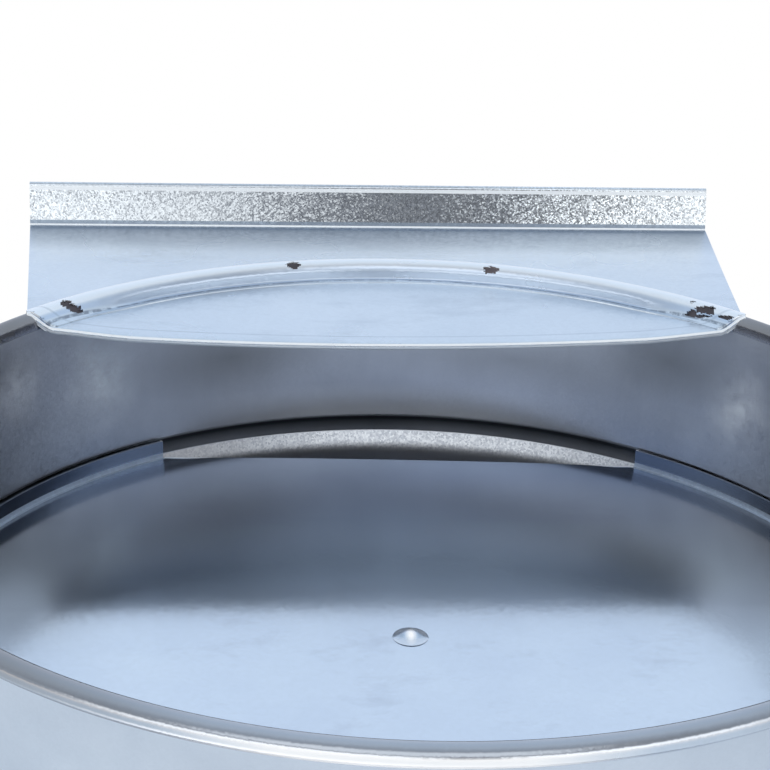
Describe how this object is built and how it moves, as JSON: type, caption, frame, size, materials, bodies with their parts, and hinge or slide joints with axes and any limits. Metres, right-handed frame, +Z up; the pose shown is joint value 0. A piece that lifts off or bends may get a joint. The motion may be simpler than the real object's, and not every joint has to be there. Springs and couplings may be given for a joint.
{
  "type": "gravity poultry feeder",
  "caption": "Round galvanised tube feeder with a recessed turning gate disc, a rear hanger plate, an adjustable hopper and a feed pan.",
  "frame": {"origin": "centre of the pan's underside, on the floor", "axes": "+Z up along the hopper's axis, +Y towards the hanger plate"},
  "size_m": [0.3808, 0.3808, 0.3456],
  "materials": {
    "galvanised_sheet": "hot-dip galvanised sheet, smooth, fine spangle",
    "plate_sheet": "hot-dip galvanised sheet, fine spangle",
    "steel_wire": "drawn steel wire",
    "rivet_steel": "bright zinc plated",
    "zinc_hardware": "zinc plated screws and nuts",
    "bracket_steel": "galvanised strip"
  },
  "bodies": {
    "pan": {"feed_pan": "galvanised_sheet", "pan_rim_wire": "steel_wire", "feed_cone": "galvanised_sheet", "cone_rivets": "rivet_steel", "bracket_1": "bracket_steel", "bracket_2": "bracket_steel", "bracket_3": "bracket_steel", "bracket_rivets": "rivet_steel"},
    "hopper": {"hopper_tube": "galvanised_sheet", "mouth_wire": "steel_wire", "clamp_screws": "zinc_hardware", "spacer_washers": "zinc_hardware", "outer_washers": "zinc_hardware", "hanger_plate": "plate_sheet", "plate_hem": "plate_sheet"},
    "gate": {"gate_disc": "galvanised_sheet", "gate_rivet": "rivet_steel", "gate_washer": "rivet_steel"},
    "nut_1": {"wing_nut_1": "zinc_hardware"},
    "nut_2": {"wing_nut_2": "zinc_hardware"},
    "nut_3": {"wing_nut_3": "zinc_hardware"}
  },
  "joints": [
    {"name": "hopper_height", "type": "slide", "parent": "pan", "child": "hopper", "axis": [0, 0, 1], "range_m": [0, 0.024]},
    {"name": "gate_turn", "type": "hinge", "parent": "hopper", "child": "gate", "pos_m": [0, 0, 0.2789], "axis": [0, 0, 1], "continuous": true},
    {"name": "wing_nut_1_turn", "type": "hinge", "parent": "hopper", "child": "nut_1", "pos_m": [0, -0.13205, 0.0917], "axis": [0, -1, 0], "continuous": true},
    {"name": "wing_nut_2_turn", "type": "hinge", "parent": "hopper", "child": "nut_2", "pos_m": [0.11436, 0.06602, 0.0917], "axis": [0.866, 0.5, 0], "continuous": true},
    {"name": "wing_nut_3_turn", "type": "hinge", "parent": "hopper", "child": "nut_3", "pos_m": [-0.11436, 0.06602, 0.0917], "axis": [-0.866, 0.5, 0], "continuous": true}
  ]
}
